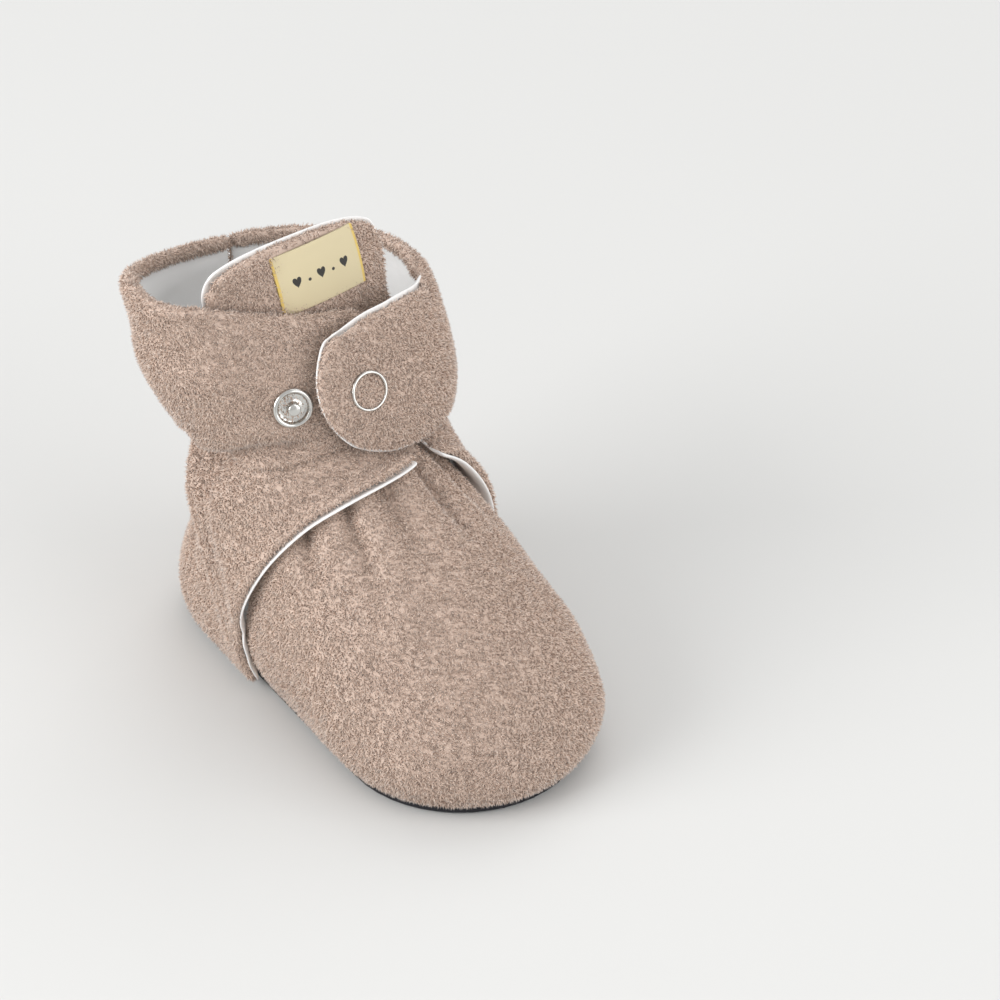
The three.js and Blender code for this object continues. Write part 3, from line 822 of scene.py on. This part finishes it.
def front_fold(turn, rise):
    """The deep fold that runs from the elastic up and forwards on the underlap's side."""
    side = half_turns(turn)
    fold_rise = lerp(0.99, 1.22, smoothstep(side, -96, -42))
    stretch = smoothstep(-side, 16, 38) * smoothstep(side, -120, -92)
    return -0.005 * hump(rise, fold_rise, 0.07) * stretch


HEM_FLARE = 0.0011          # the wrap's front edges stand off the vamp this far
HEM_OPENS = 3.2             # degrees by which the lining runs ahead low on the left front edge


def heel_wrap_panel():
    def place_from(drop, ahead):
        def place(across, up):
            hem = through_points(HEM, across)
            sides = smoothstep(np.abs(half_turns(hem[:, 0] - 180)), 62, 80)
            low = np.maximum(hem[:, 1], HEM_LOWEST) - drop * sides
            near_hem = 1 - smoothstep(up, 0, 0.3)
            turn = hem[:, 0] + ahead * hump(hem[:, 0], 253, 12) * near_hem
            return turn, lerp(low, CREASE_RISE, up), HEM_FLARE * sides * near_hem
        return place

    def lift(turn, rise):
        swell = waviness(rib_point(turn, rise), 0.02, 2) * 0.0008 * smoothstep(rise, 0.05, 0.3)
        gathered = elastic_crease(turn, rise) + heel_gathers(turn, rise)
        return WRAP_LIFT + swell + gathered + front_fold(turn, rise)

    reveal = cloth_sizes().lining_reveal / 0.062
    return Panel(92, 18, place_from(0.0, 0.0), lift, everywhere, place_from(reveal, HEM_OPENS))


def cuff_lift(turn, rise):
    side = half_turns(turn)
    fullness = 1 - smoothstep(np.abs(side - FULL_TURN), 0, FULL_SPREAD)
    swell = waviness(rib_point(turn, np.minimum(rise, 2.3)), 0.02, 3) * 0.0009
    full = RIGHT_FULLNESS * fullness * (1 - smoothstep(rise, *FULL_RISES))
    side_fold = 0.0024 * hump(side + (rise - 1.2) * 20, -104, 7) * smoothstep(-rise, -1.75, -1.25)
    tuck = RIM_TUCK * smoothstep(rise, *RIM_TUCK_RISES)
    gathered = elastic_crease(turn, rise) + heel_gathers(turn, rise)
    return WRAP_LIFT + full + swell + gathered + front_fold(turn, rise) - side_fold - tuck


def rim_rise(turn):
    """Rise of the cuff's rim: it climbs on the underlap's side and falls off round the back."""
    left = 120 - (120 - turn) % 360
    return 2 + LEFT_RIM_RISE * smoothstep(-left, -22, 55) * (1 - smoothstep(-left, 90, 240))


def round_tip(along, side, start):
    """Rounds the end of a tab into a half disc. `along` runs 0..1 to the tip, `side` -1..1 across."""
    past = np.clip((along - start) / (1 - start), 0, 1)
    drawn_in = start + (1 - start) * past * np.sqrt(1 - side * side / 2)
    return np.where(past > 0, drawn_in, along), side * np.sqrt(1 - past * past / 2)


def cuff_place(hinge, tip, start, top, unroll, grow=0.0, rolled=True):
    """Half a cuff, from the centre back to its tab's round tip. Over the rim the fleece rolls in.

    `unroll` are the turns between which the roll opens out flat; `grow` widens the tab all round.
    """
    reach = hinge - tip
    back = (hinge - math.copysign(BACK_TURN - 0.4, hinge)) / reach
    wide = grow / CUFF_HEIGHT
    roll_length = math.pi * ROLL_RADIUS + ROLL_TUCK
    roll_share = roll_length / (roll_length + CUFF_HEIGHT)

    def place(across, up):
        from_back = 1 - across if hinge > 0 else across
        along, side = round_tip(lerp(back, 1 + wide / 2, from_back), 2 * up - 1, start)
        turn = hinge - reach * along
        on_cuff = 1 - smoothstep(along, -0.15, 0.06)
        low = lerp(TAB_BOTTOM - wide, CREASE_RISE, on_cuff)
        high = top(turn) + wide * (1 - on_cuff)
        flat_rise = lerp(low, high, (side + 1) / 2)
        if not rolled:
            return turn, lerp(flat_rise, lerp(low, high - 0.02, up), on_cuff), np.zeros_like(turn)
        past = np.maximum(up - 1 + roll_share, 0) * (roll_length + CUFF_HEIGHT)
        angle = np.minimum(past / ROLL_RADIUS, math.pi)
        down = np.maximum(past - math.pi * ROLL_RADIUS, 0)
        over = (ROLL_RADIUS * np.sin(angle) - down) / CUFF_HEIGHT
        rolled_rise = lerp(low, high, np.minimum(up / (1 - roll_share), 1)) + over
        share = smoothstep(math.copysign(1, hinge) * turn, *unroll)
        curl = -ROLL_RADIUS * (1 - np.cos(angle))
        return turn, lerp(flat_rise, rolled_rise, share), share * curl

    return place


def right_cuff_panel():
    """The cuff's flap side, in one piece from the centre back to the flap's round tip."""
    def top(turn):
        behind = smoothstep(turn, HINGE_TURN, 90)
        return 2 + FLAP_TOP_RISE * smoothstep(-turn, -HINGE_TURN, -20) + (rim_rise(turn) - 2) * behind

    def lift(turn, rise):
        return cuff_lift(turn, rise) + FLAP_RISE * smoothstep(-turn, -HINGE_TURN, FLAP_OVER_TURN)

    shape = (HINGE_TURN, FLAP_TIP_TURN, 0.62, top, (40, 66))
    lining = cuff_place(*shape, grow=cloth_sizes().lining_reveal, rolled=False)
    return Panel(72, 22, cuff_place(*shape), lift, everywhere, lining)


def left_cuff_panel():
    """The cuff's other side, from the centre back to the underlap's round tip."""
    def lift(turn, rise):
        return cuff_lift(turn, rise) - UNDERLAP_SINK * smoothstep(turn, -HINGE_TURN, UNDERLAP_SUNK_TURN)

    shape = (-HINGE_TURN, UNDERLAP_TIP_TURN, 0.72, rim_rise, (-22, -6))
    return Panel(76, 24, cuff_place(*shape), lift, everywhere, cuff_place(*shape, rolled=False))


def tongue_panel():
    def place_wide(grow):
        @flat_place
        def place(across, up):
            along, side = round_tip(up, 2 * across - 1, TONGUE.round_from)
            rise = lerp(TONGUE.bottom, TONGUE.top + grow / CUFF_HEIGHT, along)
            widest = np.where(side < 0, TONGUE.left, TONGUE.right)
            reach = lerp(TONGUE.foot, widest, smoothstep(rise, 1.3, 2.1))
            return side * reach * (1 + grow / 0.022), rise
        return place

    def lift(turn, rise):
        return TONGUE.lift + waviness(rib_point(turn, rise), 0.016, 4) * 0.0006

    def shown(turn, rise):
        beside = smoothstep(np.abs(turn - 2), 11.5, 13)
        below = 1 - smoothstep(rise, 2.24, 2.3)
        pressed = (1 - np.maximum(beside, below)) * (1 - smoothstep(rise, 2.72, 2.76))
        return smoothstep(rise, 1.35, 1.45) * (1 - pressed)

    return Panel(30, 30, place_wide(0.0), lift, shown, place_wide(cloth_sizes().lining_reveal))


def hinge_stretch(turn):
    """Points before and after a fold of the cuff, from the cuff's side to the tab's."""
    side = math.copysign(1, turn)
    return tuple(skin(turn + side * spread, 1.5, 0) for spread in (HINGE_SPREAD, -HINGE_SPREAD))


def bend_at_hinge(pieces, turn):
    start, end = hinge_stretch(turn)
    for piece in pieces:
        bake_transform(piece)


# ---------------------------------------------------------------- label

LABEL_TOP_RISE = 2.72
LABEL_TILT = 3.5            # degrees that its top edge climbs towards +X


def label_face():
    cloth = cloth_sizes()
    return TONGUE.lift + cloth.lining + cloth.fleece + 2 * cloth.layer_gap + 0.0005


def label_lean():
    """The angle that the tongue's face leans back by behind the label."""
    top = skin(0.0, LABEL_TOP_RISE, label_face())
    bottom = skin(0.0, LABEL_TOP_RISE - 0.2, label_face())
    return math.atan2(top[1] - bottom[1], top[2] - bottom[2])


def label_size():
    """Width and height of the label, from the box of its leaf."""
    low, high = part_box("label")
    tilt, lean = math.radians(LABEL_TILT), label_lean()
    tall = (high.z - low.z) / math.cos(lean)
    wide = high.x - low.x
    width = (wide * math.cos(tilt) - tall * math.sin(tilt)) / math.cos(2 * tilt)
    return width, (tall - width * math.sin(tilt)) / math.cos(tilt)


def label_mesh(name):
    """A strip of satin folded over at its foot, its two cut ends sewn in at the top."""
    width, height = label_size()
    leaves_apart = 0.0004
    belly = 0.0007
    bend_back = 0.0010
    bm = bmesh.new()
    uv = bm.loops.layers.uv.new("label")
    bmesh.ops.create_grid(bm, x_segments=24, y_segments=16, size=0.5, calc_uvs=True)
    for vert in bm.verts:
        across, up = vert.co.x, vert.co.y + 0.5
        away = -belly * math.sin(up * math.pi) + bend_back * (2 * across) ** 2
        vert.co = (across * width, away, (up - 1) * height)
    copied = bmesh.ops.duplicate(bm, geom=bm.verts[:] + bm.edges[:] + bm.faces[:])["geom"]
    back = [item for item in copied if isinstance(item, bmesh.types.BMVert)]
    bmesh.ops.translate(bm, verts=back, vec=(0, leaves_apart, 0))
    bmesh.ops.reverse_faces(bm, faces=[item for item in copied if isinstance(item, bmesh.types.BMFace)])
    foot = min(vert.co.z for vert in bm.verts)
    cut_edges = [edge for edge in bm.edges if edge.is_boundary]
    fold = [edge for edge in cut_edges if all(vert.co.z < foot + 1e-5 for vert in edge.verts)]
    bmesh.ops.bridge_loops(bm, edges=fold)
    for face in bm.faces:
        for loop in face.loops:
            loop[uv].uv = (loop.vert.co.x / width + 0.5, loop.vert.co.z / height + 1)
    bmesh.ops.recalc_face_normals(bm, faces=bm.faces)
    turned = Matrix.Rotation(-label_lean(), 3, "X") @ Matrix.Rotation(-math.radians(LABEL_TILT), 3, "Y")
    bmesh.ops.rotate(bm, verts=bm.verts, cent=(0, 0, 0), matrix=turned)
    bmesh.ops.translate(bm, verts=bm.verts, vec=Vector(skin(0.0, LABEL_TOP_RISE, label_face())))
    return add_piece(name, bm, "label_satin")


# ---------------------------------------------------------------- snaps

def snap_place(turn):
    """A matrix whose Z axis points out of the cloth at a snap, with heights as stand-offs."""
    foot = skin(turn, SNAP_RISE, 0.0)
    turned = Vector((0, 0, 1)).rotation_difference(Vector(skin_normal(turn, SNAP_RISE))).to_matrix()
    return Matrix.Translation(foot) @ turned.to_4x4()


def spun(name, turn, profile, finish="nickel", closed=True, steps=48):
    """A turned metal part: its profile of (radius, height) corners spun about the snap's axis."""
    bm = bmesh.new()
    corners = [bm.verts.new((radius, 0, height)) for radius, height in profile]
    edges = [bm.edges.new(pair) for pair in zip(corners, corners[1:])]
    if closed:
        edges.append(bm.edges.new((corners[-1], corners[0])))
    bmesh.ops.spin(
        bm, geom=corners + edges, cent=(0, 0, 0), axis=(0, 0, 1), angle=math.tau, steps=steps,
        use_merge=True,
    )
    bmesh.ops.remove_doubles(bm, verts=bm.verts, dist=1e-6)
    bmesh.ops.recalc_face_normals(bm, faces=bm.faces)
    bm.transform(snap_place(turn))
    return add_piece(name, bm, finish)


def arc(radius, height, size, start, end, steps=8):
    """Corners of a round stretch of a profile, by its middle, its radius and its angles in degrees."""
    return [(radius + size * math.cos(math.radians(angle)), height + size * math.sin(math.radians(angle)))
            for angle in np.linspace(start, end, steps)]


def wrap_outside(turn):
    """Stand-off of the underlap's fleece at a snap."""
    cloth = cloth_sizes()
    sink = UNDERLAP_SINK * float(smoothstep(turn, -HINGE_TURN, UNDERLAP_SUNK_TURN))
    return WRAP_LIFT - sink + cloth.lining + cloth.layer_gap + cloth.fleece


def flap_outside():
    cloth = cloth_sizes()
    round_side = 1 - float(smoothstep(abs(CLOSED_SNAP_TURN - FULL_TURN), 0, FULL_SPREAD))
    full = RIGHT_FULLNESS * round_side * (1 - float(smoothstep(SNAP_RISE, *FULL_RISES)))
    over = float(smoothstep(-CLOSED_SNAP_TURN, -HINGE_TURN, FLAP_OVER_TURN))
    lift = WRAP_LIFT + full + FLAP_RISE * over
    return lift + cloth.lining + cloth.layer_gap + cloth.fleece


def stud_profile(face):
    """A disc with a rolled rim and a sunk floor, and a post with a swollen round head."""
    rim = SNAP_RADIUS - 0.00062
    floor = face + 0.0001
    return (
        [(0.0, face)] + [(rim, face)] + arc(rim, face + 0.0006, 0.0006, -90, 175)
        + arc(rim - 0.0009, floor + 0.0003, 0.0003, -10, -90, 4)
        + [(0.00165, floor)] + arc(0.00165, floor + 0.0002, 0.0002, -90, -180, 3)
        + [(0.0011, floor + 0.0012)] + arc(0.0011, floor + 0.00185, 0.0004, -50, 90)
        + [(0.0, floor + 0.00225)]
    )


def ring_profile(face):
    """A prong ring: a half-round band."""
    inner, outer = 0.0040, SNAP_RADIUS
    middle, size = (inner + outer) / 2, (outer - inner) / 2
    return arc(middle, face, size, 0, 180, 10) + [(inner, face - 0.0004), (outer, face - 0.0004)]


def socket_profile(top):
    """The socket inside the flap: a rolled collar round the hole that grips the post."""
    hole, rim, depth = 0.00185, SNAP_RADIUS - 0.0003, 0.0013
    return (
        [(hole, top), (rim, top)] + arc(rim - 0.0003, top - 0.0005, 0.0003, 0, -90, 5)
        + [(0.0033, top - 0.0007)] + arc(0.0029, top - depth + 0.0003, 0.0003, 0, -90, 5)
        + arc(hole + 0.0003, top - depth + 0.0003, 0.0003, -90, -180, 5)
    )


# ---------------------------------------------------------------- operators

def make_cloth(name, panel, outer_nodes, lining_nodes, held, rests_on):
    """All the pieces of one cloth panel, declared and standing for their nodes."""
    fleece, lining, piles = cloth_pair(name, panel)
    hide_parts(*outer_nodes)
    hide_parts(*lining_nodes)
    declare_panel(panel)
    return fleece, lining, *piles


class BOOTIE_OT_make_sole(bpy.types.Operator):
    """Make the twill outsole with its grip dots, the wadding and the insole."""

    bl_idname = "bootie.make_sole"
    bl_label = "Make Sole"
    bl_options = {"REGISTER", "UNDO"}

    def execute(self, context):
        low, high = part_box("outsole_fabric")
        cloth_bottom = low.z + 0.00045
        outsole = sole_slab("outsole_cloth", 0, cloth_bottom, high.z, 0.0007, "sole_twill")
        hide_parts("outsole_fabric")
        dots = grip_dots(low.z, cloth_bottom)
        low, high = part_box("sole_padding")
        wadding = sole_slab("sole_wadding", WADDING_INSET, low.z, high.z, 0.0006, "wadding")
        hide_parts("sole_padding")
        low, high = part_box("insole_lining")
        insole = sole_slab("insole", INSOLE_INSET, low.z, high.z, 0.0003, "lining")
        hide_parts("insole_lining")
        turns = np.radians(np.arange(360.0))
        area = float((sole_reach(np.degrees(turns), 0.0) ** 2).sum() / 2 * math.radians(1))
        slots = ((outsole, "sole_twill"), (dots, "grip"), (wadding, "wadding"), (insole, "lining"))
        for piece, slot in slots:
            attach(piece, "root")
        return {"FINISHED"}


class BOOTIE_OT_make_vamp(bpy.types.Operator):
    """Make the vamp over the toes, gathered at the throat."""

    bl_idname = "bootie.make_vamp"
    bl_label = "Make Vamp"
    bl_options = {"REGISTER", "UNDO"}

    def execute(self, context):
        nodes = ["vamp_outer"], ["vamp_lining"]
        for piece in make_cloth("vamp", vamp_panel(), *nodes, "gathered", ["outsole_cloth"]):
            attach(piece, "root")
        return {"FINISHED"}


class BOOTIE_OT_make_heel_wrap(bpy.types.Operator):
    """Make the heel wrap below the ankle, gathered by the elastic in its casing."""

    bl_idname = "bootie.make_heel_wrap"
    bl_label = "Make Heel Wrap"
    bl_options = {"REGISTER", "UNDO"}

    def execute(self, context):
        nodes = ["quarter_outer", "ankle_elastic"], ["quarter_lining"]
        for piece in make_cloth("heel_wrap", heel_wrap_panel(), *nodes, "gathered", ["vamp_fleece"]):
            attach(piece, "root")
        return {"FINISHED"}


class BOOTIE_OT_make_cuff(bpy.types.Operator):
    """Make the two halves of the cuff, with the flap and the underlap that close it."""

    bl_idname = "bootie.make_cuff"
    bl_label = "Make Cuff"
    bl_options = {"REGISTER", "UNDO"}

    def execute(self, context):
        nodes = ["cuff_outer", "flap_outer"], ["cuff_lining", "flap_lining"]
        held = "folded", ["heel_wrap_fleece"]
        right = make_cloth("cuff_right", right_cuff_panel(), *nodes, *held)
        bend_at_hinge(right, HINGE_TURN)
        nodes = ["underlap_outer"], ["underlap_lining"]
        left = make_cloth("cuff_left", left_cuff_panel(), *nodes, *held)
        bend_at_hinge(left, -HINGE_TURN)
        return {"FINISHED"}


class BOOTIE_OT_make_tongue(bpy.types.Operator):
    """Make the tongue that stands up behind the cuff's fastening."""

    bl_idname = "bootie.make_tongue"
    bl_label = "Make Tongue"
    bl_options = {"REGISTER", "UNDO"}

    def execute(self, context):
        nodes = ["tongue_outer"], ["tongue_lining"]
        for piece in make_cloth("tongue", tongue_panel(), *nodes, "hung", ["vamp_fleece"]):
            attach(piece, "tongue")
        return {"FINISHED"}


class BOOTIE_OT_make_label(bpy.types.Operator):
    """Make the folded satin label at the top of the tongue."""

    bl_idname = "bootie.make_label"
    bl_label = "Make Label"
    bl_options = {"REGISTER", "UNDO"}

    def execute(self, context):
        label = label_mesh("satin_label")
        thicken(label, 0.00012)
        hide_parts("label")
        width, height = label_size()
        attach(label, "label")
        return {"FINISHED"}


class BOOTIE_OT_make_snaps(bpy.types.Operator):
    """Make the prong ring, the socket and the two studs, and finish the studs' caps."""

    bl_idname = "bootie.make_snaps"
    bl_label = "Make Snaps"
    bl_options = {"REGISTER", "UNDO"}

    def execute(self, context):
        outside = flap_outside()
        inside = outside - cloth_sizes().fleece - cloth_sizes().layer_gap - cloth_sizes().lining
        ring = spun("flap_ring", CLOSED_SNAP_TURN, ring_profile(outside + SNAP_GAP))
        socket = spun("flap_socket", CLOSED_SNAP_TURN, socket_profile(inside - 0.0011))
        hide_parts("flap_snap_ring")
        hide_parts("flap_snap_socket")
        made = [(ring, "flap"), (socket, "flap")]
        for name, turn in (("closed", CLOSED_SNAP_TURN), ("tight", TIGHT_SNAP_TURN)):
            stud = spun(f"{name}_post", turn, stud_profile(wrap_outside(turn) + SNAP_GAP), closed=False)
            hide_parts(f"{name}_stud")
            made.append((stud, "underlap"))
            cap = bpy.data.objects[f"{name}_stud_cap"]
            cap.data.materials.clear()
            cap.data.materials.append(finish_of("nickel"))
        for piece, body in made:
            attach(piece, body)
        return {"FINISHED"}


class BOOTIE_OT_make_stage(bpy.types.Operator):
    """Set the pale floor, the soft lights and the camera."""

    bl_idname = "bootie.make_stage"
    bl_label = "Make Stage"
    bl_options = {"REGISTER", "UNDO"}

    def execute(self, context):
        bm = bmesh.new()
        bmesh.ops.create_grid(bm, x_segments=4, y_segments=4, size=3.0)
        floor = add_piece("floor", bm)
        paper = Finish("floor_paper", 0.9, Specular_IOR_Level=0.1)
        grain = paper.noise(paper.object_place(), 3.0)
        paper.paint(paper.blend_colours(grain, (0.67, 0.67, 0.66, 1), (0.69, 0.69, 0.68, 1)))
        floor.data.materials.append(paper.material)
        add_light("key", (-1.15, 0.25, 0.6), 0.9, 13)
        add_light("fill", (0.45, -1.1, 0.4), 1.2, 9)
        add_light("back", (0.75, 0.6, 1.1), 0.9, 4)
        world = bpy.data.worlds.new("studio")
        world.use_nodes = True
        world.node_tree.nodes["Background"].inputs["Color"].default_value = (1, 1, 1, 1)
        world.node_tree.nodes["Background"].inputs["Strength"].default_value = 0.72
        context.scene.world = world
        context.scene.view_settings.view_transform = "Standard"
        add_camera(context)
        return {"FINISHED"}


VIEW_TARGET = Vector((0.036, 0.003, 0.0334)) + Vector(SHIFT)


def add_light(name, place, size, power):
    data = bpy.data.lights.new(name, "AREA")
    data.size = size
    data.energy = power
    light = bpy.data.objects.new(name, data)
    light.location = place
    light.rotation_euler = (VIEW_TARGET - Vector(place)).to_track_quat("-Z", "Y").to_euler()
    bpy.context.scene.collection.objects.link(light)


def add_camera(context):
    """Looks down at the bootie's front from its left side, through a long lens."""
    height_angle, side_angle, distance = 35.0, 36.4, 1.0
    data = bpy.data.cameras.new("camera")
    data.sensor_width = 36
    data.lens = 151.9
    camera = bpy.data.objects.new("camera", data)
    camera.rotation_euler = (math.radians(90 - height_angle), 0, math.radians(-side_angle))
    turned = Matrix.Rotation(math.radians(-side_angle), 3, "Z")
    tipped = Matrix.Rotation(math.radians(90 - height_angle), 3, "X")
    camera.location = VIEW_TARGET + turned @ tipped @ Vector((0, 0, distance))
    context.scene.collection.objects.link(camera)
    context.scene.camera = camera


# ---------------------------------------------------------------- panel and registration

class BOOTIE_PT_builder(bpy.types.Panel):
    """Lists the bootie's pieces and their settings."""

    bl_idname = "BOOTIE_PT_builder"
    bl_label = "Fleece Baby Bootie"
    bl_space_type = "VIEW_3D"
    bl_region_type = "UI"
    bl_category = "Bootie"

    def draw(self, context):
        for group in (context.scene.bootie_cloth, context.scene.bootie_colours):
            box = self.layout.box()
            for field in group.__annotations__:
                box.prop(group, field)
        for operator in OPERATORS:
            self.layout.operator(operator.bl_idname)


OPERATORS = (
    BOOTIE_OT_make_sole,
    BOOTIE_OT_make_vamp,
    BOOTIE_OT_make_heel_wrap,
    BOOTIE_OT_make_cuff,
    BOOTIE_OT_make_tongue,
    BOOTIE_OT_make_label,
    BOOTIE_OT_make_snaps,
    BOOTIE_OT_make_stage,
)
CLASSES = (BootieCloth, BootieColours, *OPERATORS, BOOTIE_PT_builder)


def register():
    for cls in CLASSES:
        bpy.utils.register_class(cls)
    bpy.types.Scene.bootie_cloth = bpy.props.PointerProperty(type=BootieCloth)
    bpy.types.Scene.bootie_colours = bpy.props.PointerProperty(type=BootieColours)


def unregister():
    del bpy.types.Scene.bootie_colours
    del bpy.types.Scene.bootie_cloth
    for cls in reversed(CLASSES):
        bpy.utils.unregister_class(cls)


def main():
    register()
    bpy.ops.bootie.make_sole()
    bpy.ops.bootie.make_vamp()
    bpy.ops.bootie.make_heel_wrap()
    bpy.ops.bootie.make_cuff()
    bpy.ops.bootie.make_tongue()
    bpy.ops.bootie.make_label()
    bpy.ops.bootie.make_snaps()
    bpy.ops.bootie.make_stage()


if __name__ == "__main__":
    main()
